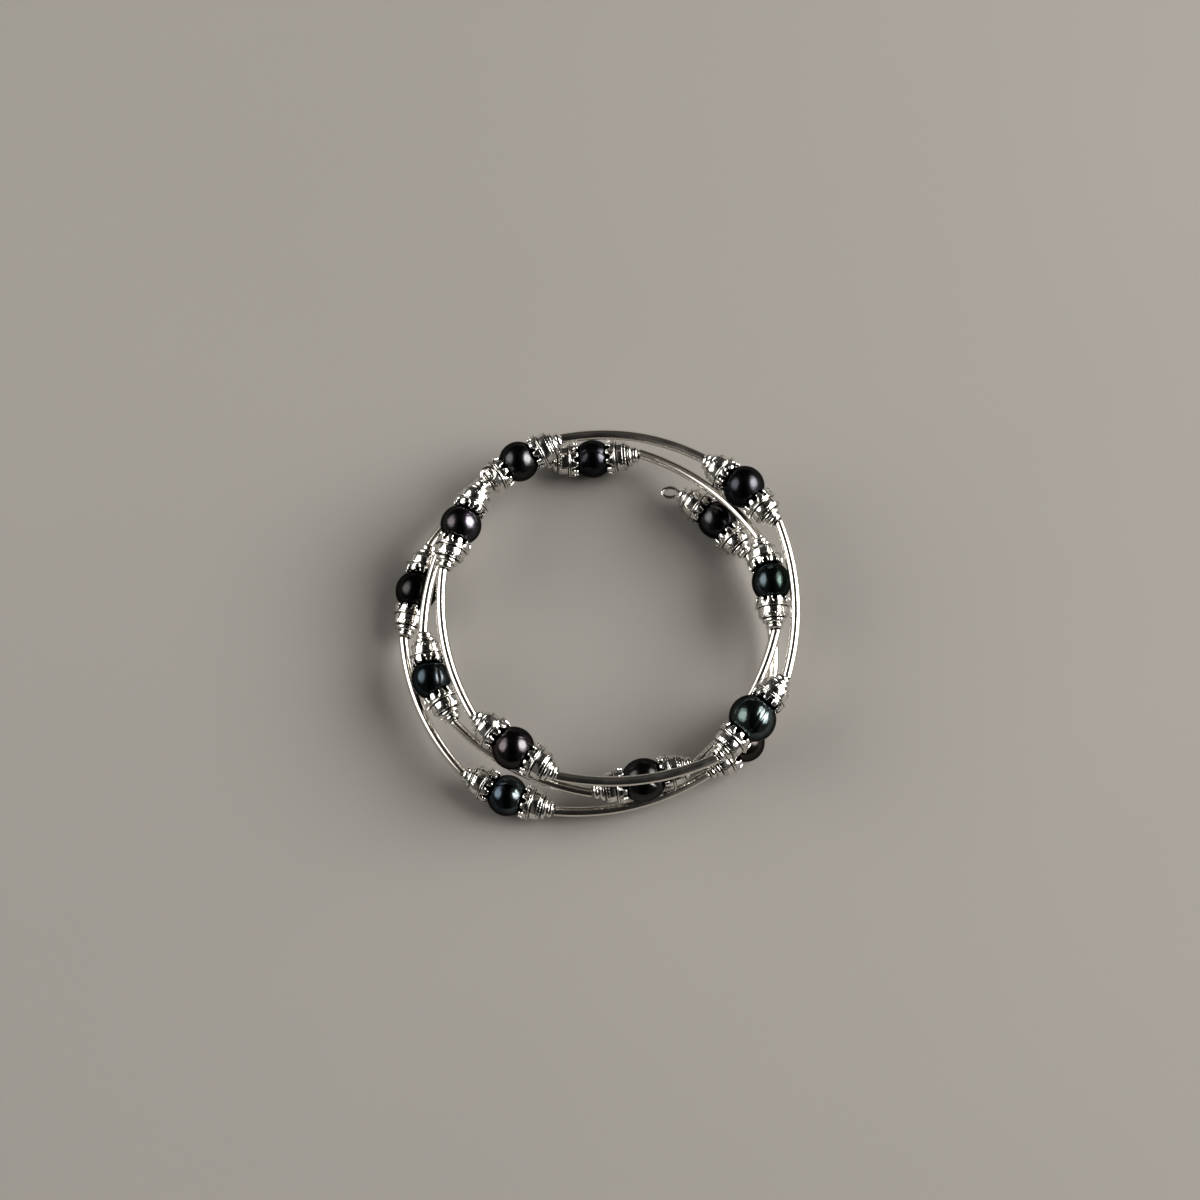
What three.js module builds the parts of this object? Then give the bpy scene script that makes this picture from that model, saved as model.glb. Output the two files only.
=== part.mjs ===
// Pearl wrap bracelet: an open coil of a little under three turns, lying flat.
// Pearls, each held between two crown caps, and curved tubes are threaded on one springy wire.
// Millimetres, +Z up, origin at the bottom centre of the whole bracelet.

import * as THREE from 'three';

const UP = new THREE.Vector3(0, 0, 1);
const LATHE_AXIS = new THREE.Vector3(0, 1, 0);

// The threaded coil, from its top end round and down to its bottom end, a row for each pearl:
// how far round the coil it sits (degrees), how far out from the coil's axis and how high its centre
// is (mm), its width across the wire and its length along it (mm), which way the caps before and
// after it point (degrees round from +X), and its tint.
const PEARLS = [
  { turn: 146, out: 26.6, height: 12.0, width: 6.6, length: 6.4, before: 63, after: 250, tint: 'plum' },
  { turn: 237, out: 25.4, height: 12.0, width: 6.8, length: 6.6, before: 139, after: -32, tint: 'aubergine' },
  { turn: 324, out: 28.9, height: 12.0, width: 7.6, length: 7.2, before: 226, after: 51, tint: 'teal' },
  { turn: 402, out: 31.0, height: 11.8, width: 6.8, length: 6.6, before: -49, after: 141, tint: 'violet' },
  { turn: 476, out: 29.7, height: 7.8, width: 6.6, length: 6.4, before: 26, after: 214, tint: 'black' },
  { turn: 559, out: 28.5, height: 7.8, width: 6.2, length: 6.6, before: 99, after: -61, tint: 'blue' },
  { turn: 644, out: 26.4, height: 6.9, width: 7.0, length: 7.2, before: 192, after: 17, tint: 'charcoal' },
  { turn: 732, out: 27.8, height: 8.8, width: 6.2, length: 6.8, before: -87, after: 103, tint: 'green' },
  { turn: 812, out: 28.6, height: 3.1, width: 6.2, length: 6.4, before: 2, after: 182, tint: 'mauve' },
  { turn: 888, out: 30.4, height: 3.4, width: 6.8, length: 6.6, before: 74, after: 257, tint: 'black' },
  { turn: 961, out: 31.1, height: 3.3, width: 6.6, length: 6.4, before: 151, after: -18, tint: 'blue' },
  { turn: 1040, out: 29.5, height: 3.3, width: 6.6, length: 6.4, before: 220, after: 59, tint: 'olive' },
  { turn: 1123, out: 26.2, height: 3.1, width: 6.2, length: 6.4, before: -51, after: 141, tint: 'charcoal' },
];

const PEARL_BORE = 1.2;
const PEARL_SIDES = 16;
const PEARL_RINGS = 8;

// A cap is one casting: a crown of ten teeth on a band, a flange, a drum, two smaller rings and a
// nose. Each pearl has one before it and one after it on the wire.
// Its outline is given as a radius and a distance from the tips of the teeth (mm).
const CROWN_TEETH = 10;
const CROWN_INSIDE = 2.3;
const CROWN_OUTSIDE = 2.85;
const TOOTH_LENGTH = 0.8;
const TOOTH_TAPER = 0.5;
const FLANGE_RADIUS = 3.0;
const FLANGE_FRONT = 1.5;
const CAP_LENGTH = 5.3;
const NOSE_BORE = 1.3;
const CAP_OUTLINE = [
  { part: 'band front', radius: CROWN_OUTSIDE, at: TOOTH_LENGTH },
  { part: 'band back', radius: CROWN_OUTSIDE, at: FLANGE_FRONT },
  { part: 'flange front', radius: FLANGE_RADIUS, at: FLANGE_FRONT },
  { part: 'flange back', radius: FLANGE_RADIUS, at: 1.75 },
  { part: 'drum front', radius: 2.4, at: 1.85 },
  { part: 'drum back', radius: 2.4, at: 3.3 },
  { part: 'large ring front', radius: 1.9, at: 3.45 },
  { part: 'large ring back', radius: 1.9, at: 4.15 },
  { part: 'small ring front', radius: 1.45, at: 4.25 },
  { part: 'small ring back', radius: 1.45, at: 4.9 },
  { part: 'nose', radius: 1.1, at: CAP_LENGTH },
  { part: 'nose bore', radius: NOSE_BORE / 2, at: CAP_LENGTH },
  { part: 'crown bore', radius: 1.1, at: FLANGE_FRONT },
  { part: 'crown floor', radius: CROWN_INSIDE, at: FLANGE_FRONT },
  { part: 'band inside', radius: CROWN_INSIDE, at: TOOTH_LENGTH },
];
const PEARL_CLEARANCE = 0.25;

// Curved tubes join the noses of neighbouring caps.
const TUBE_GAP = 0.5;
const TUBE_BOW = 1.9;
const TUBE_DIAMETER = 1.6;
const TUBE_BORE = 1.2;
const TUBE_STEPS = 8;

// The wire ends in a flat open eye past each free cap: its outer length along the wire and its
// outer width (mm).
const WIRE_DIAMETER = 0.6;
const EYE_STEM = 0.45;
const EYE_STEPS = 12;
const EYE_START = 25;
const EYE_SWEEP = 290;
const FIRST_EYE = { length: 2.4, width: 2.4 };
const LAST_EYE = { length: 3.0, width: 2.2 };

const radians = THREE.MathUtils.degToRad;
const numbered = (name, index) => `${name}_${String(index + 1).padStart(2, '0')}`;

// --- Materials ---------------------------------------------------------------------------------

const TINTS = {
  plum: 0x2b2028,
  aubergine: 0x2a1d1f,
  teal: 0x22302e,
  violet: 0x1c1a24,
  black: 0x17171a,
  blue: 0x131d26,
  charcoal: 0x1b1c20,
  green: 0x15231f,
  mauve: 0x1d1a22,
  olive: 0x211f19,
};

function pearlMaterial(tint) {
  return new THREE.MeshStandardMaterial({ color: TINTS[tint], roughness: 0.22, metalness: 0.3 });
}

const silver = new THREE.MeshStandardMaterial({ color: 0xd6d3cb, roughness: 0.12, metalness: 1 });
const steel = new THREE.MeshStandardMaterial({ color: 0xb9b6b0, roughness: 0.25, metalness: 1 });

// --- Layout of the coil ------------------------------------------------------------------------

function heading(degrees) {
  return new THREE.Vector3(Math.cos(radians(degrees)), Math.sin(radians(degrees)), 0);
}

// How far the tips of a cap's teeth sit from the middle of the pearl that they close round.
function crownSeat({ width, length }) {
  const height = (length / 2) * Math.sqrt(1 - (2 * CROWN_INSIDE / width) ** 2);
  return height + PEARL_CLEARANCE;
}

function placePearl(row) {
  const centre = heading(row.turn).multiplyScalar(row.out).setZ(row.height);
  const seat = crownSeat(row);
  return { ...row, centre, seat, reach: seat + CAP_LENGTH };
}

// The way a cap points: round as its row says, and up or down toward the pearl that its tube leads
// to. A free cap is level.
function capDirection(degrees, from, to) {
  const along = to ? to.centre.clone().sub(from.centre).normalize() : new THREE.Vector3();
  return heading(degrees).multiplyScalar(Math.sqrt(1 - along.z ** 2)).setZ(along.z);
}

function placeCoil() {
  const pearls = PEARLS.map(placePearl);
  pearls.forEach((pearl, index) => {
    pearl.towardBefore = capDirection(pearl.before, pearl, pearls[index - 1]);
    pearl.towardAfter = capDirection(pearl.after, pearl, pearls[index + 1]);
    pearl.axis = pearl.towardAfter.clone().sub(pearl.towardBefore).normalize();
    pearl.noseBefore = pearl.centre.clone().addScaledVector(pearl.towardBefore, pearl.reach);
    pearl.noseAfter = pearl.centre.clone().addScaledVector(pearl.towardAfter, pearl.reach);
  });
  return pearls;
}

// The centre line of the tube from one nose to the next, bowed outward like the coil.
function tubeCurve(from, to) {
  const start = from.noseAfter.clone().addScaledVector(from.towardAfter, TUBE_GAP);
  const end = to.noseBefore.clone().addScaledVector(to.towardBefore, TUBE_GAP);
  const outward = end.clone().sub(start).cross(UP).normalize();
  const middle = start.clone().add(end).multiplyScalar(0.5).addScaledVector(outward, 2 * TUBE_BOW);
  return new THREE.QuadraticBezierCurve3(start, middle, end);
}

// --- Pieces ------------------------------------------------------------------------------------

// A drilled pearl, round or slightly drawn out along its bore.
function pearlGeometry({ width, length }) {
  const edge = Math.acos(PEARL_BORE / width);
  const profile = [];
  for (let ring = 0; ring <= PEARL_RINGS; ring += 1) {
    const angle = edge * (2 * ring / PEARL_RINGS - 1);
    profile.push(new THREE.Vector2(width / 2 * Math.cos(angle), length / 2 * Math.sin(angle)));
  }
  profile.push(profile[0].clone());
  return new THREE.LatheGeometry(profile, PEARL_SIDES);
}

// A cap turned about +Y with the tips of its teeth at y = 0. Its outline runs round in rings of
// corners, and on each sector of the band's front edge stands one tapered tooth.
function capGeometry() {
  const corners = [];
  const faces = [];
  const corner = (radius, at, sector) => {
    const angle = 2 * Math.PI * sector / CROWN_TEETH;
    return corners.push(radius * Math.cos(angle), at, radius * Math.sin(angle)) / 3 - 1;
  };
  const quad = (a, b, c, d) => faces.push(a, b, c, a, c, d);

  const sectors = [...Array(CROWN_TEETH).keys()];
  const rings = CAP_OUTLINE.map(({ radius, at }) => sectors.map((i) => corner(radius, at, i)));
  for (let ring = 1; ring < rings.length; ring += 1) {
    for (const i of sectors) {
      const next = (i + 1) % CROWN_TEETH;
      quad(rings[ring - 1][i], rings[ring][i], rings[ring][next], rings[ring - 1][next]);
    }
  }

  const tipMiddle = (CROWN_INSIDE + CROWN_OUTSIDE) / 2;
  const tipHalf = TOOTH_TAPER * (CROWN_OUTSIDE - CROWN_INSIDE) / 2;
  const inner = rings.at(-1);
  const outer = rings[0];
  for (const i of sectors) {
    const next = (i + 1) % CROWN_TEETH;
    const left = i + 0.5 - TOOTH_TAPER / 2;
    const right = i + 0.5 + TOOTH_TAPER / 2;
    const base = [inner[i], outer[i], outer[next], inner[next]];
    const tip = [
      corner(tipMiddle - tipHalf, 0, left),
      corner(tipMiddle + tipHalf, 0, left),
      corner(tipMiddle + tipHalf, 0, right),
      corner(tipMiddle - tipHalf, 0, right),
    ];
    for (let side = 0; side < 4; side += 1) {
      const other = (side + 1) % 4;
      quad(base[side], base[other], tip[other], tip[side]);
    }
    quad(...tip);
  }

  const geometry = new THREE.BufferGeometry();
  geometry.setAttribute('position', new THREE.Float32BufferAttribute(corners, 3));
  geometry.setIndex(faces);
  geometry.computeVertexNormals();
  return geometry;
}

function tubeGeometry(curve) {
  const section = new THREE.Shape();
  section.absarc(0, 0, TUBE_DIAMETER / 2, 0, 2 * Math.PI);
  const bore = new THREE.Path();
  bore.absarc(0, 0, TUBE_BORE / 2, 0, 2 * Math.PI);
  section.holes.push(bore);
  return new THREE.ExtrudeGeometry(section, {
    extrudePath: curve,
    steps: TUBE_STEPS,
    curveSegments: 4,
  });
}

// A route through given points, with a cross-section at every one of them.
class Route extends THREE.Curve {
  constructor(points) {
    super();
    this.points = points;
  }

  getPoint(t) {
    return this.points[Math.round(t * (this.points.length - 1))].clone();
  }

  getPointAt(u) {
    return this.getPoint(u);
  }

  getTangentAt(u) {
    const last = this.points.length - 1;
    const index = Math.round(u * last);
    const behind = this.points[Math.max(index - 1, 0)];
    const here = this.points[index];
    const ahead = this.points[Math.min(index + 1, last)];
    const arriving = here.clone().sub(behind).normalize();
    const leaving = ahead.clone().sub(here).normalize();
    return arriving.add(leaving).normalize();
  }
}

// The open eye past a free cap, from the stem at the cap's nose to the wire's cut end.
function eyePoints(nose, direction, { length, width }) {
  const sideways = direction.clone().cross(UP);
  const points = [];
  for (let step = 0; step <= EYE_STEPS; step += 1) {
    const angle = radians(EYE_START + EYE_SWEEP * step / EYE_STEPS);
    const ahead = EYE_STEM + (length - WIRE_DIAMETER) / 2 * (1 - Math.cos(angle));
    const aside = (width - WIRE_DIAMETER) / 2 * Math.sin(angle);
    points.push(nose.clone().addScaledVector(direction, ahead).addScaledVector(sideways, aside));
  }
  return points;
}

// The wire's whole route: the first eye, then through each pearl and tube, then the last eye.
function wirePoints(pearls, tubes) {
  const first = pearls.at(0);
  const last = pearls.at(-1);
  const points = eyePoints(first.noseBefore, first.towardBefore, FIRST_EYE).reverse();
  points.push(first.noseBefore.clone());
  pearls.forEach((pearl, index) => {
    points.push(pearl.centre.clone().addScaledVector(pearl.axis, -pearl.length / 2));
    points.push(pearl.centre.clone().addScaledVector(pearl.axis, pearl.length / 2));
    const tube = tubes[index];
    if (tube) {
      points.push(...tube.getPoints(TUBE_STEPS));
    }
  });
  points.push(last.noseAfter.clone());
  points.push(...eyePoints(last.noseAfter, last.towardAfter, LAST_EYE));
  return points;
}

function wireGeometry(points) {
  const section = new THREE.Shape();
  section.absarc(0, 0, WIRE_DIAMETER / 2, 0, 2 * Math.PI);
  return new THREE.ExtrudeGeometry(section, {
    extrudePath: new Route(points),
    steps: points.length - 1,
    curveSegments: 3,
  });
}

// --- Assembly ----------------------------------------------------------------------------------

function namedMesh(name, geometry, material) {
  const mesh = new THREE.Mesh(geometry, material);
  mesh.name = name;
  return mesh;
}

function turnedMesh(name, geometry, material, position, axis) {
  const mesh = namedMesh(name, geometry, material);
  mesh.position.copy(position);
  mesh.quaternion.setFromUnitVectors(LATHE_AXIS, axis);
  return mesh;
}

function buildPearls(pearls) {
  const group = new THREE.Group();
  pearls.forEach((pearl, index) => {
    const material = pearlMaterial(pearl.tint);
    const name = numbered('pearl', index);
    group.add(turnedMesh(name, pearlGeometry(pearl), material, pearl.centre, pearl.axis));
  });
  return group;
}

function buildCaps(pearls) {
  const group = new THREE.Group();
  const geometry = capGeometry();
  pearls.forEach((pearl, index) => {
    for (const [side, direction] of [['before', pearl.towardBefore], ['after', pearl.towardAfter]]) {
      const position = pearl.centre.clone().addScaledVector(direction, pearl.seat);
      const name = `${numbered('cap', index)}_${side}`;
      group.add(turnedMesh(name, geometry, silver, position, direction));
    }
  });
  return group;
}

function buildTubes(tubes) {
  const group = new THREE.Group();
  tubes.forEach((curve, index) => {
    group.add(namedMesh(numbered('tube', index), tubeGeometry(curve), silver));
  });
  return group;
}

function buildBracelet() {
  const pearls = placeCoil();
  const tubes = pearls.slice(1).map((pearl, index) => tubeCurve(pearls[index], pearl));
  const bracelet = new THREE.Group();
  bracelet.add(buildPearls(pearls), buildCaps(pearls), buildTubes(tubes));
  bracelet.add(namedMesh('memory_wire', wireGeometry(wirePoints(pearls, tubes)), steel));

  const box = new THREE.Box3().setFromObject(bracelet, true);
  const middle = box.getCenter(new THREE.Vector3());
  bracelet.position.set(-middle.x, -middle.y, -box.min.z);
  return bracelet;
}

export default buildBracelet();
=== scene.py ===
"""Pearl wrap bracelet: dark pearls between crown caps and curved tubes, coiled on spring wire.

Every piece is a surface worked out with numpy round the places and sizes of the CAD frame.
Lengths are in metres, +Z is up, and the bracelet lies on the floor.
"""

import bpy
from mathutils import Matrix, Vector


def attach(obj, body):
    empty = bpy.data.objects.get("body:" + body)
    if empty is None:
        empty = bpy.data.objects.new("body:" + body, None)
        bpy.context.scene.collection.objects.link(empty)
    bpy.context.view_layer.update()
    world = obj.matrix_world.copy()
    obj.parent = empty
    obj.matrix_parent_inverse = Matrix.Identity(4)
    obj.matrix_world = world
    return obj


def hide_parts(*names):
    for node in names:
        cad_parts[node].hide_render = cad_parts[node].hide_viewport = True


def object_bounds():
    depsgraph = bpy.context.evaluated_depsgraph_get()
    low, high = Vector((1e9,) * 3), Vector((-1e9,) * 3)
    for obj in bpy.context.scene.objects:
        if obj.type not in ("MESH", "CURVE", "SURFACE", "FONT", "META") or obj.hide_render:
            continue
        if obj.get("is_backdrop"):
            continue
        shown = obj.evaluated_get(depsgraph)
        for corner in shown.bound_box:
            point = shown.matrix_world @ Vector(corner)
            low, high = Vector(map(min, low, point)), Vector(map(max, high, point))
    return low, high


bl_info = {
    "name": "Pearl Wrap Bracelet",
    "version": (1, 0, 0),
    "blender": (4, 5, 0),
    "location": "3D View > Sidebar > Bracelet",
    "description": "Makes the pearls, crown caps, curved tubes and wire of a wrap bracelet, and its stage",
    "category": "Add Mesh",
}

import bpy
import numpy as np
from mathutils import Vector

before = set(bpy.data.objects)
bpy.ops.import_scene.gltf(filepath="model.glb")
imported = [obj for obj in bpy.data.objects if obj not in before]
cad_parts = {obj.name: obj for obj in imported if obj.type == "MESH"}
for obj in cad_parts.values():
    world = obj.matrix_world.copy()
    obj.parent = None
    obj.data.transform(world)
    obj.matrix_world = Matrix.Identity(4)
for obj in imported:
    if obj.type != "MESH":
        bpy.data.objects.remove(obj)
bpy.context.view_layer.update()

MM = 0.001
TURN = 2 * np.pi
UP = np.array([0.0, 0.0, 1.0])
PEARL_NAMES = sorted(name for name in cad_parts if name.startswith("pearl_"))
TUBE_NAMES = sorted(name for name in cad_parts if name.startswith("tube_"))

# How each pearl looks, from the coil's top end to its bottom end: the tone of its lustre toward -X
# and toward +X, the pearl's own overtone with painted light in its brightness, dimmer toward the
# weaker lamp and brighter toward the stronger, the tone low round its sides, painted shade and a
# painted reflection of the floor, and how rough the lustre is.
LOOK_COLUMNS = ("left", "right", "low", "rough")
PEARL_LOOKS = [
    ((0.050, 0.045, 0.048), (0.113, 0.105, 0.124), (0.028, 0.021, 0.017), 0.20),
    ((0.061, 0.053, 0.056), (0.056, 0.053, 0.058), (0.036, 0.028, 0.021), 0.18),
    ((0.074, 0.100, 0.095), (0.108, 0.138, 0.138), (0.013, 0.012, 0.014), 0.17),
    ((0.024, 0.026, 0.033), (0.037, 0.037, 0.042), (0.011, 0.010, 0.011), 0.23),
    ((0.034, 0.036, 0.037), (0.058, 0.059, 0.060), (0.019, 0.017, 0.016), 0.20),
    ((0.028, 0.043, 0.050), (0.062, 0.075, 0.083), (0.005, 0.007, 0.008), 0.17),
    # pearl_07: its tones toward -X and +X are kept low, painted shade that dims its highlights beside
    # tube_02, and its low tone is high, painted light for its lighter lower side below that tube
    ((0.030, 0.030, 0.030), (0.040, 0.040, 0.040), (0.125, 0.125, 0.125), 0.19),
    ((0.048, 0.067, 0.074), (0.021, 0.037, 0.031), (0.009, 0.006, 0.005), 0.18),
    ((0.022, 0.023, 0.029), (0.050, 0.051, 0.060), (0.011, 0.009, 0.011), 0.22),
    ((0.021, 0.021, 0.021), (0.034, 0.034, 0.032), (0.012, 0.012, 0.012), 0.20),
    ((0.037, 0.053, 0.069), (0.092, 0.115, 0.121), (0.035, 0.022, 0.027), 0.16),
    ((0.056, 0.052, 0.047), (0.053, 0.048, 0.044), (0.058, 0.051, 0.040), 0.20),
    ((0.050, 0.051, 0.055), (0.026, 0.027, 0.029), (0.003, 0.003, 0.003), 0.22),
]

# Grooves in the nacre. Each lies in a band across the pearl: the band is centred where the middle
# direction meets the surface, runs the way of the line direction, and fades over its length. The
# length and the width are shares of the pearl's radius, and the depth is in millimetres.
GROOVE_COLUMNS = ("middle", "line", "length", "width", "depth")
PEARL_GROOVES = {
    "pearl_01": [
        ((0.42, 0.24, 0.88), (1.00, 0.20, -0.40), 0.30, 0.030, 0.015),
        ((0.40, 0.00, 0.92), (0.60, -0.75, 0.00), 0.35, 0.030, 0.015),
    ],
    "pearl_02": [
        ((0.48, 0.30, 0.84), (1.00, -0.10, -0.40), 0.30, 0.035, 0.020),
    ],
    "pearl_03": [
        ((0.42, -0.10, 0.90), (-0.57, -0.82, 0.10), 1.40, 0.055, 0.110),
        ((0.27, 0.10, 0.95), (-0.57, -0.82, 0.10), 0.50, 0.040, 0.030),
        ((0.56, 0.05, 0.83), (-0.50, -0.86, 0.10), 0.60, 0.040, 0.020),
    ],
    "pearl_07": [
        ((0.35, -0.26, 0.90), (0.85, -0.50, 0.00), 0.30, 0.060, 0.100),
        ((0.10, -0.55, 0.83), (0.90, 0.30, 0.00), 0.50, 0.080, 0.030),
    ],
    "pearl_08": [
        ((0.64, -0.10, 0.76), (0.10, 1.00, 0.00), 0.60, 0.050, 0.050),
    ],
}

# The turned outline of a cap's body, from the crown's floor through the bore and round outside to
# the back of the crown's band: a row for each corner, with its radius and its distance from the
# tips of the teeth, how far the corner is softened (mm), how much painted shade it takes for lying
# in a recess, and how much of the milled edge's fluting it takes.
CORNER_COLUMNS = ("part", "radius", "at", "soft", "recess_shade", "fluting")
CAP_OUTLINE = [
    ("crown floor", 2.22, 1.40, 0.10, 1.0, 0),
    ("floor's bore", 0.65, 1.40, 0.05, 1.0, 0),
    ("bore's end", 0.65, 4.72, 0.05, 1.0, 0),
    ("socket's floor", 0.87, 4.72, 0.03, 1.0, 0),
    ("socket's mouth", 0.87, 5.12, 0.05, 0.8, 0),
    ("small ring's back", 1.20, 5.11, 0.14, 0.0, 0),
    ("small ring's crest", 1.46, 4.78, 0.22, 0.0, 0),
    ("small ring's front", 1.34, 4.34, 0.16, 0.0, 0),
    ("rear groove", 1.20, 4.24, 0.05, 1.0, 0),
    ("large ring's back", 1.68, 4.16, 0.16, 0.0, 0),
    ("large ring's crest", 2.00, 3.84, 0.24, 0.0, 0),
    ("large ring's front", 1.84, 3.46, 0.16, 0.0, 0),
    ("middle groove", 1.64, 3.36, 0.04, 1.0, 0),
    ("milled edge's back", 2.32, 3.26, 0.08, 0.0, 1),
    ("milled edge's front", 2.40, 2.78, 0.04, 0.0, 1),
    ("drum's back", 2.42, 2.70, 0.03, 0.0, 0),
    ("drum's front", 2.43, 1.78, 0.06, 0.0, 0),
    ("flange's foot", 2.28, 1.68, 0.05, 1.0, 0),
    ("flange's back", 2.93, 1.60, 0.06, 0.0, 0),
    ("flange's front", 2.93, 1.42, 0.06, 0.0, 0),
    ("flange groove", 2.58, 1.36, 0.04, 1.0, 0),
    ("band's back", 2.76, 1.27, 0.07, 0.1, 0),
]
CAP_CORNERS = [dict(zip(CORNER_COLUMNS, row)) for row in CAP_OUTLINE]


# --- Settings ----------------------------------------------------------------------------------


class PearlSettings(bpy.types.PropertyGroup):
    """Sizes of the pearls that the frame doesn't give."""

    bore: bpy.props.FloatProperty(
        name="Bore", description="Radius of the hole drilled through a pearl",
        default=0.6 * MM, unit="LENGTH", precision=5)
    columns: bpy.props.IntProperty(
        name="Columns", description="Steps round a pearl's bore", default=96, min=24, max=256)
    rows: bpy.props.IntProperty(
        name="Rows", description="Steps from one end of a pearl to the other",
        default=64, min=16, max=192)
    fineness: bpy.props.IntProperty(
        name="Fineness", description="How many times finer a grooved pearl is stepped",
        default=2, min=1, max=3)
    unevenness: bpy.props.FloatProperty(
        name="Unevenness", description="How far a pearl swells and dips, as a share of its radius",
        default=0.016, subtype="FACTOR", min=0, max=0.05)


class CapSettings(bpy.types.PropertyGroup):
    """Sizes of the crown caps that the frame doesn't give."""

    teeth: bpy.props.IntProperty(name="Teeth", description="Teeth round a crown", default=10, min=3)
    flutes: bpy.props.IntProperty(
        name="Flutes", description="Flutes round the milled edge", default=30, min=3)
    columns: bpy.props.IntProperty(
        name="Columns", description="Steps round a cap, a multiple of both its teeth and its flutes",
        default=120, min=30)
    flute_depth: bpy.props.FloatProperty(
        name="Flute depth", description="How deep the milled edge's flutes are cut",
        default=0.15 * MM, unit="LENGTH", precision=5)
    flute_slant: bpy.props.FloatProperty(
        name="Flute slant", description="How many flutes round the milled edge's twist goes in a millimetre",
        default=1.5)
    crown_radius: bpy.props.FloatProperty(
        name="Crown radius", description="Outer radius of the crown's band and teeth",
        default=2.78 * MM, unit="LENGTH", precision=5)
    crown_wall: bpy.props.FloatProperty(
        name="Crown wall", description="How thick the crown's band and teeth are",
        default=0.46 * MM, unit="LENGTH", precision=5)
    tooth_reach: bpy.props.FloatProperty(
        name="Tooth reach", description="How far the teeth reach past the tips of the CAD teeth",
        default=0.05 * MM, unit="LENGTH", precision=5)
    notch: bpy.props.FloatProperty(
        name="Notch", description="How far the gaps between teeth lie behind the CAD tips",
        default=0.72 * MM, unit="LENGTH", precision=5)
    rounding: bpy.props.FloatProperty(
        name="Rounding", description="How far the teeth's edges are rounded",
        default=0.18 * MM, unit="LENGTH", precision=5)
    tooth_bend: bpy.props.FloatProperty(
        name="Tooth bend", description="How far the teeth's tips bend inward over the pearl",
        default=0.12 * MM, unit="LENGTH", precision=5)
    rib_height: bpy.props.FloatProperty(
        name="Rib height", description="How far each tooth's ridge stands out from the crown's band",
        default=0.30 * MM, unit="LENGTH", precision=5)


class TubeSettings(bpy.types.PropertyGroup):
    """Sizes of the curved tubes that the frame doesn't give."""

    radius: bpy.props.FloatProperty(
        name="Radius", description="Outer radius of a tube", default=0.8 * MM, unit="LENGTH", precision=5)
    bore: bpy.props.FloatProperty(
        name="Bore", description="Inner radius of a tube", default=0.6 * MM, unit="LENGTH", precision=5)
    reach: bpy.props.FloatProperty(
        name="Reach", description="How far a tube reaches past its CAD ends into the caps",
        default=0.60 * MM, unit="LENGTH", precision=5)
    sides: bpy.props.IntProperty(name="Sides", description="Steps round a tube", default=40, min=12)
    steps: bpy.props.IntProperty(name="Steps", description="Steps along a tube", default=64, min=8)


class WireSettings(bpy.types.PropertyGroup):
    """Sizes of the spring wire and of the open eyes at its ends."""

    radius: bpy.props.FloatProperty(
        name="Radius", description="Radius of the wire", default=0.28 * MM, unit="LENGTH", precision=5)
    sides: bpy.props.IntProperty(name="Sides", description="Steps round the wire", default=16, min=6)
    stem: bpy.props.FloatProperty(
        name="Stem", description="Straight wire between a free cap and its eye",
        default=0.45 * MM, unit="LENGTH", precision=5)
    first_length: bpy.props.FloatProperty(
        name="First eye's length", description="Outer length of the eye at the coil's top end",
        default=2.8 * MM, unit="LENGTH", precision=5)
    first_width: bpy.props.FloatProperty(
        name="First eye's width", description="Outer width of the eye at the coil's top end",
        default=2.7 * MM, unit="LENGTH", precision=5)
    last_length: bpy.props.FloatProperty(
        name="Last eye's length", description="Outer length of the eye at the coil's bottom end",
        default=3.0 * MM, unit="LENGTH", precision=5)
    last_width: bpy.props.FloatProperty(
        name="Last eye's width", description="Outer width of the eye at the coil's bottom end",
        default=2.2 * MM, unit="LENGTH", precision=5)
    last_turn: bpy.props.FloatProperty(
        name="Last eye's turn", description="How far that eye is bent aside from its cap's way",
        default=np.radians(40), subtype="ANGLE", unit="ROTATION")


class StageSettings(bpy.types.PropertyGroup):
    """The floor, the light and the camera."""

    floor_colour: bpy.props.FloatVectorProperty(
        name="Floor colour", description="Colour of the floor", subtype="COLOR", size=3,
        default=(0.205, 0.196, 0.181), min=0, max=1)
    elevation: bpy.props.FloatProperty(
        name="Elevation", description="How high the camera looks down on the bracelet",
        default=np.radians(76.1), subtype="ANGLE", unit="ROTATION")
    distance: bpy.props.FloatProperty(
        name="Distance", description="From the bracelet's origin to the camera", default=0.367, unit="LENGTH")
    lens: bpy.props.FloatProperty(
        name="Lens", description="The camera's focal length in millimetres", default=67.8, min=1)
    left_panel: bpy.props.FloatProperty(
        name="Left panel", description="Power of the soft panel on the left, in watts", default=2.0, min=0)
    right_panel: bpy.props.FloatProperty(
        name="Right panel", description="Power of the soft panel on the right, in watts", default=4.8, min=0)
    left_even: bpy.props.FloatProperty(
        name="Left even light", description="Even light from the left, in watts a square metre",
        default=0.7, min=0)
    right_even: bpy.props.FloatProperty(
        name="Right even light", description="Even light from the right, in watts a square metre",
        default=2.9, min=0)
    overhead_glow: bpy.props.FloatProperty(
        name="Overhead glow", description="Brightness of the room overhead and in front",
        default=0.018, min=0)
    side_glow: bpy.props.FloatProperty(
        name="Side glow", description="Brightness of the room to the left and right", default=0.11, min=0)
    behind_glow: bpy.props.FloatProperty(
        name="Behind glow", description="Brightness of the room behind the bracelet", default=0.05, min=0)


SETTINGS = {
    "bracelet_pearls": PearlSettings,
    "bracelet_caps": CapSettings,
    "bracelet_tubes": TubeSettings,
    "bracelet_wire": WireSettings,
    "bracelet_stage": StageSettings,
}


# --- Measuring the frame -----------------------------------------------------------------------


def unit(vectors):
    """The same directions, each of length one."""
    return vectors / np.linalg.norm(vectors, axis=-1, keepdims=True)


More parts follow.
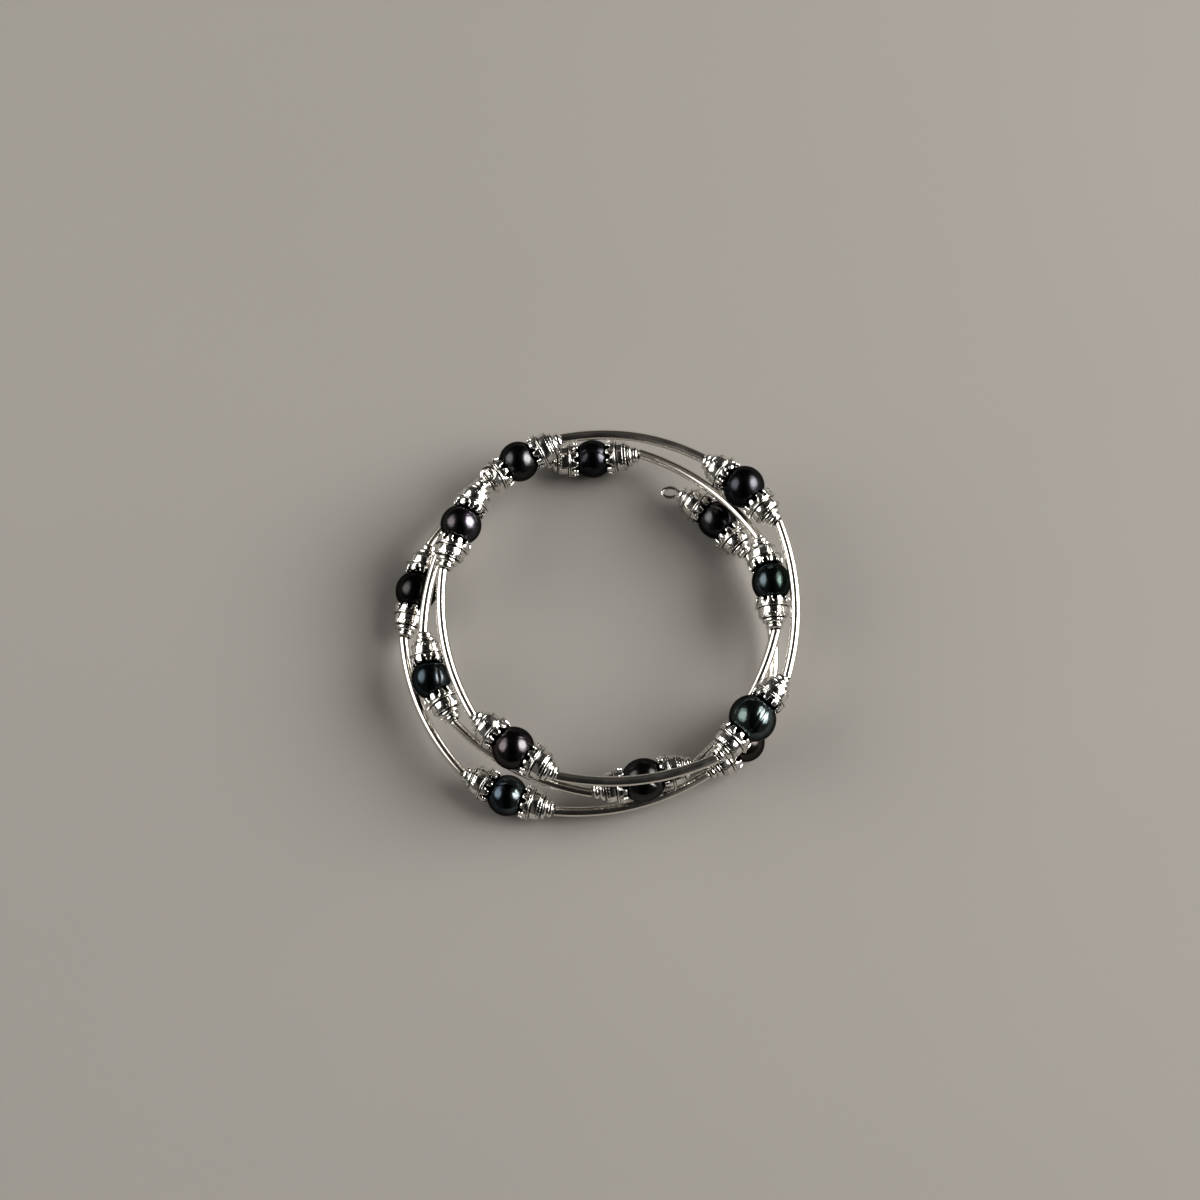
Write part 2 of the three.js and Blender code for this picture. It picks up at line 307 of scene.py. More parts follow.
def node_points(name):
    """The corners of a CAD node, each listed once."""
    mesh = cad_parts[name].data
    points = np.empty(3 * len(mesh.vertices), np.float32)
    mesh.vertices.foreach_get("co", points)
    return np.unique(points.reshape(-1, 3).astype(float).round(7), axis=0)


def measure_cap(name, pearl_middle):
    """A cap's direction away from its pearl, the middle of its tooth tips and that of its nose."""
    points = node_points(name)
    axis = unit(points.mean(axis=0) - pearl_middle)
    along = (points - pearl_middle) @ axis
    return {
        "name": name,
        "axis": axis,
        "tips": pearl_middle + axis * along.min(),
        "nose": pearl_middle + axis * along.max(),
    }


def measure_pearl(name, bore):
    """A pearl's middle, the way of its bore, its half sizes across and along it, and its two caps.

    The CAD pearl is a ring of its outline about the bore. It is widest at its middle, and its ends
    lie where the ellipse of its half sizes comes down to the bore's radius.
    """
    points = node_points(name)
    middle = points.mean(axis=0)
    number = name.removeprefix("pearl_")
    before = measure_cap(f"cap_{number}_before", middle)
    after = measure_cap(f"cap_{number}_after", middle)
    axis = unit(after["axis"] - before["axis"])
    along = (points - middle) @ axis
    across = np.linalg.norm(points - middle - along[:, None] * axis, axis=1)
    half_width = across.max()
    half_length = along.max() / np.sqrt(1 - (bore / half_width) ** 2)
    return {
        "name": name,
        "middle": middle,
        "axis": axis,
        "half_width": half_width,
        "half_length": half_length,
        "caps": [before, after],
    }


def measure_tube(name, noses):
    """The three points of the quadratic curve that a tube follows between two noses.

    The ends are the middles of the rings of corners nearest the noses. The curve passes halfway
    through the middle of the middle ring, which gives its third point.
    """
    ring_reach = 1.5 * MM
    points = node_points(name)
    ends = [points[np.linalg.norm(points - nose, axis=1) < ring_reach].mean(axis=0) for nose in noses]
    halfway = (ends[0] + ends[1]) / 2
    along = (points - halfway) @ unit(ends[1] - ends[0])
    middle = points[np.abs(along) < ring_reach / 2].mean(axis=0)
    return [ends[0], 2 * middle - halfway, ends[1]]


def measure_bracelet(scene):
    """All pearls with their caps, and all tubes, in threading order."""
    pearls = [measure_pearl(name, scene.bracelet_pearls.bore) for name in PEARL_NAMES]
    tubes = []
    for name, pearl, following in zip(TUBE_NAMES, pearls, pearls[1:]):
        noses = [pearl["caps"][1]["nose"], following["caps"][0]["nose"]]
        tubes.append({"name": name, "curve": measure_tube(name, noses)})
    return pearls, tubes


# --- Surfaces ----------------------------------------------------------------------------------


def grid_faces(rows, columns, closed_rows):
    """Four-cornered faces between neighbouring rows of a grid whose columns close on themselves."""
    row = np.arange(rows if closed_rows else rows - 1)[:, None]
    column = np.arange(columns)[None, :]
    following_row = (row + 1) % rows
    following_column = (column + 1) % columns
    corners = [
        row * columns + column,
        row * columns + following_column,
        following_row * columns + following_column,
        following_row * columns + column,
    ]
    return np.stack(np.broadcast_arrays(*corners), axis=-1).reshape(-1, 4)


def enclosed_volume(vertices, quads):
    """The volume inside a closed surface, below zero where its faces point inwards."""
    a, b, c, d = (vertices[quads[:, i]] for i in range(4))
    split = [np.einsum("ij,ij->i", a, np.cross(b, c)), np.einsum("ij,ij->i", a, np.cross(c, d))]
    return sum(part.sum() for part in split) / 6


def make_piece(name, grid, material, closed_rows=True, attributes=None):
    """A smooth mesh object over a grid of points, whose columns close and whose rows close or
    end in flat lids, turned so that its faces point outwards."""
    rows, columns, _ = grid.shape
    vertices = grid.reshape(-1, 3)
    quads = grid_faces(rows, columns, closed_rows)
    if enclosed_volume(vertices - vertices.mean(axis=0), quads) < 0:
        quads = quads[:, ::-1]
        lids = [np.arange(columns), np.arange(columns)[::-1] + (rows - 1) * columns]
    else:
        lids = [np.arange(columns)[::-1], np.arange(columns) + (rows - 1) * columns]
    loops = [quads.ravel()]
    sizes = np.full(len(quads), 4)
    if not closed_rows:
        loops += lids
        sizes = np.append(sizes, [columns, columns])

    corners = np.concatenate(loops).astype(np.int32)
    mesh = bpy.data.meshes.new(name)
    mesh.vertices.add(len(vertices))
    mesh.vertices.foreach_set("co", vertices.astype(np.float32).ravel())
    mesh.loops.add(len(corners))
    mesh.loops.foreach_set("vertex_index", corners)
    mesh.polygons.add(len(sizes))
    mesh.polygons.foreach_set("loop_start", (np.cumsum(sizes) - sizes).astype(np.int32))
    mesh.polygons.foreach_set("use_smooth", np.ones(len(sizes), bool))
    for label, values in (attributes or {}).items():
        layer = mesh.attributes.new(label, "FLOAT", "POINT")
        layer.data.foreach_set("value", values.astype(np.float32).ravel())
    mesh.update(calc_edges=True)
    if mesh.validate():
        raise RuntimeError(f"the mesh of {name} has faults")
    mesh.materials.append(material)
    piece = bpy.data.objects.new(name, mesh)
    bpy.context.scene.collection.objects.link(piece)
    return piece


def seat_piece(piece, node):
    """The piece stands for its CAD node, which it hides, and rides on the bracelet."""
    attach(piece, "root")
    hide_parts(node)


def local_axes(axis):
    """Sideways, upward and forward directions for a piece that points along the axis."""
    sideways = unit(np.cross(axis, UP))
    return np.stack([sideways, np.cross(sideways, axis), axis])


def wavy_swelling(directions, waves, seed):
    """A low, smooth swelling between -1 and 1 over all directions: the mean of a few seeded sine
    waves, each running its own way across the ball with its own frequency."""
    lowest = 1.5
    highest = 4.0
    draw = np.random.default_rng(seed)
    headings = unit(draw.normal(size=(waves, 3))) * draw.uniform(lowest, highest, (waves, 1))
    starts = draw.uniform(0, TURN, waves)
    return np.sin(directions @ headings.T + starts).mean(axis=-1)


def groove_depth(directions, groove):
    """How deep a groove is cut at each direction from the pearl's middle, in metres.

    Across the groove its depth falls off as a bell curve of its width, and along it as one of its
    length, both measured from the groove's middle on the ball of radius one.
    """
    middle = unit(np.array(groove["middle"]))
    line = np.array(groove["line"])
    line = unit(line - (line @ middle) * middle)
    across = directions @ np.cross(middle, line) / groove["width"]
    along = directions @ line / groove["length"]
    facing = directions @ middle > 0
    return groove["depth"] * MM * np.exp(-(across**2) - along**2) * facing


def pearl_grid(pearl, settings, seed):
    """A drilled pearl: an ellipse carried round the bore, swollen a little unevenly and grooved.

    The first rows run over the outside, at even angles from one bore edge to the other, and the
    swelling and grooves fade out toward both edges as a high power of the angle. The last two rows
    lie inside the bore, a little in from its edges, which closes the surface.
    """
    waves = 7
    edge_calm = 8
    bore_depth = 0.9
    grooves = [dict(zip(GROOVE_COLUMNS, row)) for row in PEARL_GROOVES.get(pearl["name"], [])]
    finer = settings.fineness if grooves else 1
    columns = settings.columns * finer
    edge = np.arccos(settings.bore / pearl["half_width"])
    angles = np.linspace(-edge, edge, settings.rows * finer)
    turns = np.arange(columns) / columns * TURN
    sideways, upward, forward = local_axes(pearl["axis"])
    spoke = np.cos(turns)[:, None] * sideways + np.sin(turns)[:, None] * upward

    across = pearl["half_width"] * np.cos(angles)[:, None, None] * spoke
    along = pearl["half_length"] * np.sin(angles)[:, None, None] * forward
    outside = across + along
    directions = unit(outside)
    fade = 1 - (angles / edge)[:, None] ** edge_calm
    swelling = 1 + settings.unevenness * fade * wavy_swelling(directions, waves, seed)
    outside = outside * swelling[..., None]
    for groove in grooves:
        outside = outside - directions * (groove_depth(directions, groove) * fade)[..., None]

    bore = bore_depth * along[[-1, 0]] + settings.bore * spoke
    return pearl["middle"] + np.concatenate([outside, bore])


def softened_outline(corners, steps):
    """The corners' outline with each corner replaced by a short curve, in rows of named values.

    The curve starts and ends the corner's softening away from it, on its two sides, and is the
    quadratic curve that they bound.
    """
    place = np.array([[row["radius"], row["at"]] for row in corners]) * MM
    soft = np.array([row["soft"] for row in corners])[:, None] * MM
    arriving = np.roll(place, 1, axis=0) - place
    leaving = np.roll(place, -1, axis=0) - place
    arriving[0] = (0, -MM)
    leaving[-1] = (0, -MM)
    start = (place + unit(arriving) * soft)[:, None]
    end = (place + unit(leaving) * soft)[:, None]
    t = np.linspace(0, 1, steps)[None, :, None]
    curve = (1 - t) ** 2 * start + 2 * t * (1 - t) * place[:, None] + t**2 * end
    # how much painted shade each point of the outline takes where it lies in a recess
    recess_shade = np.repeat([row["recess_shade"] for row in corners], steps)
    fluting = np.repeat([row["fluting"] for row in corners], steps)
    radius, at = curve.reshape(-1, 2).T
    return radius, at, recess_shade, fluting


def crown_edge(phase):
    """The crown's front edge at a phase counted in teeth: its way round in teeth, and its rise
    from gap (0) to tooth (1).

    It is a rounded square wave. The rise is the tanh of a cosine, scaled to run from 0 to 1. The
    way round is held back by a sine of half the pitch, so that the teeth are wider than their necks,
    and by a sine of the pitch, so that they are wider than the gaps.
    """
    square = 0.70
    overhang = 0.58
    widening = 0.26
    rise = 0.5 - 0.5 * np.tanh(square * np.cos(TURN * phase)) / np.tanh(square)
    way = phase + (overhang * np.sin(2 * TURN * phase) - widening * np.sin(TURN * phase)) / TURN
    return way, rise


def crown_rows(settings, phase):
    """Rows of the crown's wall, from its outer foot over the toothed edge to its inner foot.

    The edge's outline is moved into the metal by the rounding on both faces of the wall and not at
    all at its middle, along a half circle. The wall's faces run straight from it to their feet. The
    outer face is let in between the teeth by the cube of a raised cosine, which leaves a broad ridge
    along each tooth, and the teeth bend inward as the square of the way to their tips. The painted
    shade of the recesses is the deepest of the wall's own toward its foot, its inner face's and the
    hollows' between the teeth.
    """
    step = 1e-4
    rim_steps = 7
    # Painted shade: how dark each row of the wall is painted toward its foot, and in the hollows between the
    # teeth
    foot_shade = [0.5, 0.3, 0.1, 0.2, 0.3, 0.4, 0.4, 0.4, 0.4, 0.4, 0.4]
    hollow_shade = 0.9
    share = np.array([0.34, 0.67])[:, None]
    foot_at = CAP_CORNERS[-1]["at"] * MM
    pitch = settings.crown_radius * TURN / settings.teeth

    def outline(at_phase):
        way, rise = crown_edge(at_phase)
        return way * pitch, settings.notch - (settings.notch + settings.tooth_reach) * rise

    behind = np.array(outline(phase - step))
    ahead = np.array(outline(phase + step))
    along, back = (ahead - behind) / np.linalg.norm(ahead - behind, axis=0)
    here, at = outline(phase)

    over = np.linspace(0, np.pi, rim_steps)[:, None]
    inset = settings.rounding * (1 - np.sin(over))
    rim_way = (here - inset * back) / pitch
    rim_at = at + inset * along
    middle = settings.crown_radius - settings.crown_wall / 2
    rim_radius = middle + settings.crown_wall / 2 * np.cos(over) + 0 * phase

    outer_way = phase + (rim_way[0] - phase) * share
    outer_at = foot_at + (rim_at[0] - foot_at) * share
    inner_way = phase + (rim_way[-1] - phase) * share[::-1]
    inner_at = foot_at + (rim_at[-1] - foot_at) * share[::-1]
    outer_radius = settings.crown_radius + 0 * outer_at
    inner_radius = settings.crown_radius - settings.crown_wall + 0 * inner_at
    way = np.concatenate([outer_way, rim_way, inner_way])
    at = np.concatenate([outer_at, rim_at, inner_at])
    radius = np.concatenate([outer_radius, rim_radius, inner_radius])

    bend = np.clip((settings.notch - at) / (settings.notch + settings.tooth_reach), 0, 1)
    outward = np.concatenate([[1, 1], (1 + np.cos(over[:, 0])) / 2, [0, 0]])[:, None]
    forward = np.sqrt(np.clip((foot_at - at) / (foot_at + settings.tooth_reach), 0, 1))
    valley = outward * ((1 + np.cos(TURN * way)) / 2) ** 3
    let_in = settings.rib_height * forward * valley
    radius = radius - settings.tooth_bend * bend**2 - let_in

    # Painted shade in the crown's recesses: deeper toward the foot, on the inner face and between the teeth
    depth = np.clip((at + settings.tooth_reach) / foot_at, 0, 1) ** 2
    inward = np.clip(over[:, 0] / np.pi * 2 - 1, 0, 1)
    recess_shade = depth * np.array(foot_shade)[:, None]
    recess_shade = np.maximum(recess_shade, np.concatenate([[0, 0], inward, [1, 1]])[:, None])
    recess_shade = np.maximum(recess_shade, hollow_shade * valley)
    return way, at, radius, recess_shade


def cap_grid(cap, settings, turned):
    """A crown cap about its axis and the painted shade of its recesses: the crown's rows, then its body's
    rows.

    The body is its softened outline carried round. The milled edge's radius is cut by flutes with
    the outline of a rectified sine.
    """
    corner_steps = 3
    # painted shade in the cuts of the milled edge's flutes
    flute_shade = 0.8
    phase = np.arange(settings.columns) * settings.teeth / settings.columns
    way, at, radius, recess_shade = crown_rows(settings, phase)
    body_radius, body_at, body_shade, fluting = softened_outline(CAP_CORNERS, corner_steps)
    flute = phase / settings.teeth * settings.flutes + settings.flute_slant * body_at[:, None] / MM
    cut = fluting[:, None] * (1 - np.abs(np.sin(flute * TURN / 2)))
    way = np.concatenate([way, np.broadcast_to(phase, cut.shape)])
    at = np.concatenate([at, body_at[:, None] + 0 * cut])
    radius = np.concatenate([radius, body_radius[:, None] - settings.flute_depth * cut])
    recess_shade = np.concatenate([recess_shade, np.maximum(body_shade[:, None], flute_shade * cut)])

    angle = way / settings.teeth * TURN + turned
    sideways, upward, forward = local_axes(cap["axis"])
    spoke = np.sin(angle)[..., None] * sideways + np.cos(angle)[..., None] * upward
    return cap["tips"] + radius[..., None] * spoke + at[..., None] * forward, recess_shade


def curve_points(curve, fraction):
    """Points on a quadratic curve, and the curve's direction there."""
    start, bend, end = curve
    t = fraction[:, None]
    points = (1 - t) ** 2 * start + 2 * t * (1 - t) * bend + t**2 * end
    direction = unit((1 - t) * (bend - start) + t * (end - bend))
    return points, direction


def tube_grid(tube, settings):
    """A hollow tube: its wall's outline carried round its curve.

    The outline runs along the outside, over a rounded rim, back along the bore and over the other
    rim. Past the curve's ends it goes straight on for the tube's reach.
    """
    rim_steps = 7
    inside_coarseness = 4
    wall = settings.radius - settings.bore
    middle = (settings.radius + settings.bore) / 2
    length = np.linalg.norm(np.diff(tube["curve"], axis=0), axis=1).sum()
    total = length + 2 * settings.reach
    rim = np.linspace(0, np.pi, rim_steps)[1:-1]
    outside = np.linspace(wall / 2, total - wall / 2, settings.steps)
    inside = outside[::-inside_coarseness]
    there = total - wall / 2 + wall / 2 * np.sin(rim)
    here = wall / 2 - wall / 2 * np.sin(rim)
    at = np.concatenate([outside, there, inside, here])
    radius = np.concatenate([
        np.full(len(outside), settings.radius),
        middle + wall / 2 * np.cos(rim),
        np.full(len(inside), settings.bore),
        middle - wall / 2 * np.cos(rim),
    ])
    place = at - settings.reach
    fraction = np.clip(place / length, 0, 1)
    points, direction = curve_points(tube["curve"], fraction)
    points = points + direction * (place - fraction * length)[:, None]
    start, bend, end = tube["curve"]
    binormal = unit(np.cross(bend - start, end - bend))
    normal = np.cross(binormal, direction)
    turns = np.arange(settings.sides) / settings.sides * TURN
    spoke = np.cos(turns)[:, None] * normal[:, None] + np.sin(turns)[:, None] * binormal
    return points[:, None] + radius[:, None, None] * spoke


def eye_points(cap, settings, length, width, turn=0.0):
    """The open eye past a free cap: most of an ellipse, from the stem to the wire's cut end.

    Its length runs the cap's way, turned about the upright by the given angle.
    """
    stem_angle = 25
    cut_angle = 325
    steps = 60
    angle = np.radians(np.linspace(stem_angle, cut_angle, steps))[:, None]
    heading = np.cos(turn) * cap["axis"] + np.sin(turn) * np.cross(UP, cap["axis"])
    sideways = np.cross(heading, UP)
    thickness = 2 * settings.radius
    ahead = settings.stem + (length - thickness) / 2 * (1 - np.cos(angle))
    aside = (width - thickness) / 2 * np.sin(angle)
    return cap["nose"] + heading * ahead + sideways * aside


def wire_route(pearls, tubes, settings):
    """The wire's middle line: first eye, then through every pearl and tube, then last eye.

    It runs straight in each cap's nose. At each end of a pearl's hole it heads halfway between the
    ways of the hole and of the cap.
    """
    straight = 0.3 * MM
    along_tube = np.linspace(0, 1, 24)
    first = pearls[0]["caps"][0]
    last = pearls[-1]["caps"][1]
    route = [eye_points(first, settings, settings.first_length, settings.first_width)[::-1]]
    for index, pearl in enumerate(pearls):
        before, after = pearl["caps"]
        headings = unit(np.array([before["axis"] - pearl["axis"], after["axis"] + pearl["axis"]]))
        route.append(before["nose"][None] - before["axis"] * straight)
        route.append(pearl["middle"] + pearl["half_length"] * headings)
        route.append(after["nose"][None] - after["axis"] * straight)
        if index < len(tubes):
            route.append(curve_points(tubes[index]["curve"], along_tube)[0])
    route.append(eye_points(last, settings, settings.last_length, settings.last_width, settings.last_turn))
    return np.concatenate(route)


def wire_grid(route, settings):
    """A round wire along its route, the edges of its two cut ends rounded as quarter circles."""
    rounding = 0.5 * settings.radius
    rounding_steps = 5
    direction = unit(np.gradient(route, axis=0))
    over = np.linspace(0, np.pi / 2, rounding_steps)[1:]
    reach = rounding * np.sin(over)[:, None]
    narrowed = settings.radius - rounding * (1 - np.cos(over))
    start = route[0] - direction[0] * reach[::-1]
    end = route[-1] + direction[-1] * reach
    points = np.concatenate([start, route, end])
    ahead = [np.tile(direction[0], (len(over), 1)), direction, np.tile(direction[-1], (len(over), 1))]
    headings = np.concatenate(ahead)
    radius = np.concatenate([narrowed[::-1], np.full(len(route), settings.radius), narrowed])
    aside = unit(np.cross(headings, UP))
    above = np.cross(aside, headings)
    turns = np.arange(settings.sides) / settings.sides * TURN
    spoke = np.cos(turns)[:, None] * aside[:, None] + np.sin(turns)[:, None] * above[:, None]
    return points[:, None] + radius[:, None, None] * spoke


# --- Materials ---------------------------------------------------------------------------------


class Finish:
    """A material under construction: its nodes, linked one after another."""

    def __init__(self, name):
        self.material = bpy.data.materials.new(name)
        self.material.use_nodes = True
        self.nodes = self.material.node_tree.nodes
        self.links = self.material.node_tree.links
        self.shader = self.nodes["Principled BSDF"]

    def node(self, kind, inputs=None, **settings):
        """A new node with its settings and inputs, where an input that is a socket is linked."""
        node = self.nodes.new(kind)
        for name, value in settings.items():
            setattr(node, name, value)
        for name, value in (inputs or {}).items():
            self.put(node, name, value)
        return node

    def put(self, node, name, value):
        """Sets a node's input, or links it if the value is another node's socket."""
        if isinstance(value, bpy.types.NodeSocket):
            self.links.new(value, node.inputs[name])
        else:
            node.inputs[name].default_value = value

    def noise(self, place, scale, detail=3.0, roughness=0.5):
        """Smooth noise between 0 and 1, with so many features a metre."""
        inputs = {"Vector": place, "Scale": scale, "Detail": detail, "Roughness": roughness}
        return self.node("ShaderNodeTexNoise", inputs).outputs["Fac"]

    def remap(self, value, low, high, to_low, to_high):
        """The value stretched from one range to another and held inside it."""
        inputs = {"Value": value, "From Min": low, "From Max": high, "To Min": to_low, "To Max": to_high}
        return self.node("ShaderNodeMapRange", inputs).outputs["Result"]

    def blend(self, factor, first, second):
        """A mix of two colours."""
        node = self.node("ShaderNodeMix", data_type="RGBA")
        self.put(node, "Factor", factor)
        for socket, value in (("A", first), ("B", second)):
            slot = next(s for s in node.inputs if s.name == socket and s.type == "RGBA")
            if isinstance(value, bpy.types.NodeSocket):
                self.links.new(value, slot)
            else:
                slot.default_value = value
        return next(s for s in node.outputs if s.type == "RGBA")

    def relief(self, height, strength, distance):
        """A bump from a height between 0 and 1."""
        inputs = {"Height": height, "Strength": strength, "Distance": distance}
        return self.node("ShaderNodeBump", inputs).outputs["Normal"]


def opaque(colour):
    """A colour with full alpha."""
    return (*colour, 1.0)


def pearl_finish(pearl, look):
    """Dark nacre: a tinted lustre whose tone drifts from side to side, painted light that makes the
    highlights on -X and +X unlike, and toward the underside, painted shade and a painted reflection
    of the floor; faintly mottled, under a thin clear top."""
    cloud_scale = 420
    mottling_scale = 1500
    relief_scale = 600
    relief_depth = 0.16 * MM
    mottled_share = 0.6
    finish = Finish(f"{pearl['name']}_nacre")
    coordinates = finish.node("ShaderNodeTexCoord").outputs["Object"]
    centred = finish.node("ShaderNodeMapping", {"Vector": coordinates, "Location": tuple(-pearl["middle"])})
    place = centred.outputs["Vector"]
    parts = finish.node("ShaderNodeSeparateXYZ", {"Vector": place}).outputs
    clouds = finish.noise(place, cloud_scale)
    radius = pearl["half_width"]

    def drift(distance, low, high):
        """From 0 to 1 between two distances, in radii, with a cloudy edge."""
        inputs = {0: clouds, 1: 0.6 * radius, 2: distance}
        wander = finish.node("ShaderNodeMath", inputs, operation="MULTIPLY_ADD").outputs[0]
        return finish.remap(wander, low * radius, high * radius, 0.0, 1.0)

    # Painted light: the lustre's tone set apart for -X and +X as the lamps' highlights fall, and painted
    # shade with a painted floor reflection toward the underside
    sides = finish.blend(drift(parts["X"], 0.0, 0.6), opaque(look["left"]), opaque(look["right"]))
    painted_light_tones = finish.blend(drift(parts["Z"], 0.35, 0.95), opaque(look["low"]), sides)
    mottling = finish.remap(finish.noise(place, mottling_scale, 4.0, 0.6), 0.25, 0.75, 0.0, 0.35)
    colour = finish.blend(mottling, painted_light_tones, opaque(np.array(look["low"]) * mottled_share))
    finish.put(finish.shader, "Base Color", colour)
    finish.put(finish.shader, "Metallic", 1.0)
    finish.put(finish.shader, "Specular Tint", (0.16, 0.15, 0.14, 1))
    rough = finish.remap(clouds, 0.2, 0.8, look["rough"] * 0.95, look["rough"] * 1.25)
    finish.put(finish.shader, "Roughness", rough)
    finish.put(finish.shader, "Coat Weight", 0.25)
    finish.put(finish.shader, "Coat Roughness", 0.14)
    bumps = finish.noise(place, relief_scale, 2.5)
    finish.put(finish.shader, "Normal", finish.relief(bumps, 0.6, relief_depth))
    return finish.material


def silver_finish(name, plate, rough, waviness, wave_scale):
    """Polished silver plate: bright, a little warm, with painted shade in its recesses, faint wear and
    the slight waviness of its casting or drawing."""
    haze_scale = 500
    wave_depth = 0.1 * MM
    worn_tint = (0.78, 0.74, 0.68)
    painted_shade_colour = (0.05, 0.047, 0.043)
    finish = Finish(name)
    place = finish.node("ShaderNodeTexCoord").outputs["Object"]
    recess_shade = finish.node("ShaderNodeAttribute", attribute_name="recess_shade").outputs["Fac"]
    haze = finish.noise(place, haze_scale)
    wear = finish.remap(haze, 0.45, 0.8, 0.0, 0.35)
    worn = finish.blend(wear, opaque(plate), opaque(np.array(plate) * worn_tint))
    # Painted shade: the recesses are painted near black where the shadow falls in them
    painted_shade = finish.remap(recess_shade, 0.25, 0.9, 0.0, 0.97)
    finish.put(finish.shader, "Base Color", finish.blend(painted_shade, worn, opaque(painted_shade_colour)))
    finish.put(finish.shader, "Metallic", 1.0)
    finish.put(finish.shader, "Roughness", finish.remap(haze, 0.3, 0.75, rough * 0.8, rough * 1.3))
    waves = finish.noise(place, wave_scale, 2.0)
    finish.put(finish.shader, "Normal", finish.relief(waves, waviness, wave_depth))
    return finish.material


def steel_finish():
    """Drawn spring steel: a little darker and softer than the silver, finely mottled."""
    mottling_scale = 2500
    light = (0.78, 0.76, 0.72)
    dark = (0.52, 0.50, 0.47)
    finish = Finish("spring_steel")
    place = finish.node("ShaderNodeTexCoord").outputs["Object"]
    mottling = finish.noise(place, mottling_scale, 4.0)
    finish.put(finish.shader, "Base Color", finish.blend(mottling, opaque(light), opaque(dark)))
    finish.put(finish.shader, "Metallic", 1.0)
    finish.put(finish.shader, "Roughness", finish.remap(mottling, 0.3, 0.7, 0.12, 0.24))
    finish.put(finish.shader, "Normal", finish.relief(mottling, 0.15, 0.02 * MM))
    return finish.material


def floor_finish(colour):
    """A plain, pale, matt floor with the faintest unevenness in its tone."""
    unevenness = 1.03
    cloud_scale = 9
    finish = Finish("pale_floor")
    place = finish.node("ShaderNodeTexCoord").outputs["Object"]
    tone = finish.remap(finish.noise(place, cloud_scale), 0.3, 0.7, 0.0, 1.0)
    lighter = opaque(np.minimum(np.array(colour) * unevenness, 1))
    finish.put(finish.shader, "Base Color", finish.blend(tone, opaque(colour), lighter))
    finish.put(finish.shader, "Roughness", 0.9)
    return finish.material


# --- Operators ---------------------------------------------------------------------------------


class BRACELET_OT_pearls(bpy.types.Operator):
    """Make the thirteen drilled pearls"""

    bl_idname = "bracelet.pearls"
    bl_label = "Make Pearls"

    def execute(self, context):
        settings = context.scene.bracelet_pearls
        pearls, _ = measure_bracelet(context.scene)
        for seed, (pearl, row) in enumerate(zip(pearls, PEARL_LOOKS)):
            look = dict(zip(LOOK_COLUMNS, row))
            grid = pearl_grid(pearl, settings, seed)
            piece = make_piece(f"{pearl['name']}_nacre", grid, pearl_finish(pearl, look))
            seat_piece(piece, pearl["name"])
        return {"FINISHED"}


class BRACELET_OT_caps(bpy.types.Operator):
    """Make the two crown caps of every pearl"""

    bl_idname = "bracelet.caps"
    bl_label = "Make Crown Caps"

    def execute(self, context):
        settings = context.scene.bracelet_caps
        if settings.columns % settings.teeth or settings.columns % settings.flutes:
            raise RuntimeError("the columns are not a multiple of the teeth and the flutes")
        silver = silver_finish(
            "cast_silver", plate=(0.80, 0.79, 0.76), rough=0.10, waviness=0.2, wave_scale=1400)
        seed = 5
        draw = np.random.default_rng(seed)
        pearls, _ = measure_bracelet(context.scene)
        for cap in [cap for pearl in pearls for cap in pearl["caps"]]:
            turned = draw.uniform(0, TURN / settings.teeth)
            grid, recess_shade = cap_grid(cap, settings, turned)
            piece = make_piece(f"{cap['name']}_cast", grid, silver, attributes={"recess_shade": recess_shade})
            piece.modifiers.new("flat faces", "WEIGHTED_NORMAL")
            seat_piece(piece, cap["name"])
        return {"FINISHED"}


class BRACELET_OT_tubes(bpy.types.Operator):
    """Make the curved tubes between the caps"""

    bl_idname = "bracelet.tubes"
    bl_label = "Make Tubes"

    def execute(self, context):
        settings = context.scene.bracelet_tubes
        silver = silver_finish(
            "drawn_silver", plate=(0.80, 0.77, 0.72), rough=0.18, waviness=0.1, wave_scale=350)
        _, tubes = measure_bracelet(context.scene)
        for tube in tubes:
            piece = make_piece(f"{tube['name']}_drawn", tube_grid(tube, settings), silver)
            seat_piece(piece, tube["name"])
        return {"FINISHED"}


class BRACELET_OT_wire(bpy.types.Operator):
    """Make the spring wire with its two open eyes"""

    bl_idname = "bracelet.wire"
    bl_label = "Make Wire"

    def execute(self, context):
        settings = context.scene.bracelet_wire
        pearls, tubes = measure_bracelet(context.scene)
        grid = wire_grid(wire_route(pearls, tubes, settings), settings)
        piece = make_piece("spring_wire", grid, steel_finish(), closed_rows=False)
        seat_piece(piece, "memory_wire")
        return {"FINISHED"}


class BRACELET_OT_stage(bpy.types.Operator):
    """Lay the floor and set up the light and the camera"""

    bl_idname = "bracelet.stage"
    bl_label = "Set Stage"

    def execute(self, context):
        settings = context.scene.bracelet_stage
        make_floor(settings)
        make_lights(settings)
        make_world(context.scene, settings)
        make_camera(context.scene, settings)
        context.scene.view_settings.view_transform = "Standard"
        context.scene.view_settings.look = "Medium High Contrast"
        return {"FINISHED"}


def make_floor(settings):
    """A wide floor at the bracelet's lowest point."""
    half = 2.0
    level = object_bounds()[0][2]
    mesh = bpy.data.meshes.new("floor")
    corners = [(-half, -half, level), (half, -half, level), (half, half, level), (-half, half, level)]
    mesh.from_pydata(corners, [], [(0, 1, 2, 3)])
    mesh.materials.append(floor_finish(tuple(settings.floor_colour)))
    floor = bpy.data.objects.new("floor", mesh)
    bpy.context.scene.collection.objects.link(floor)
    floor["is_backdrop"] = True


def aim(thing, target):
    """Turns a light or the camera, which look along their own -Z, toward a point."""
    heading = Vector(target) - thing.location
    thing.rotation_euler = heading.to_track_quat("-Z", "Y").to_euler()


